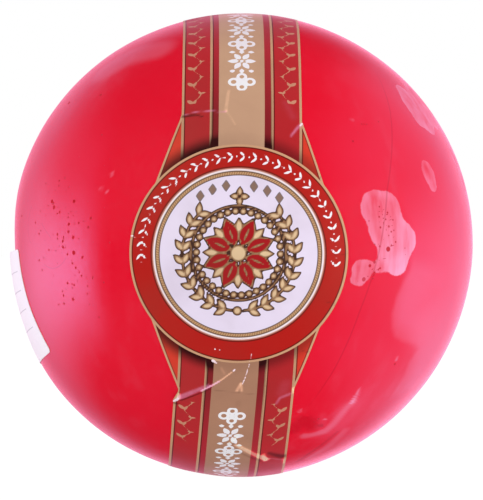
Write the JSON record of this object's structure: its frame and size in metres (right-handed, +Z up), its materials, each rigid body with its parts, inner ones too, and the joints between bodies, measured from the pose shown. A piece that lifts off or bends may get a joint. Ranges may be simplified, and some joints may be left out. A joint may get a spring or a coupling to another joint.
{
  "type": "ball of cheese",
  "caption": "Whole ball of semi-hard cheese in glossy red wax, with a printed wrap-round label that carries a round medallion, and a plain white side sticker.",
  "frame": {"origin": "on the surface the ball stands on, under the middle of the ball", "axes": "-Y towards the label's round medallion, +X to its right as seen from there, +Z up"},
  "size_m": [0.1484, 0.149, 0.149],
  "materials": {
    "cheese_ball": "glossy red wax, slightly pitted and dented",
    "band_label": "satin printed paper in gold, dark red and white",
    "side_sticker": "white satin sticker"
  },
  "bodies": {
    "root": {"cheese_ball": "cheese_ball", "band_label": "band_label", "side_sticker": "side_sticker"}
  },
  "joints": []
}
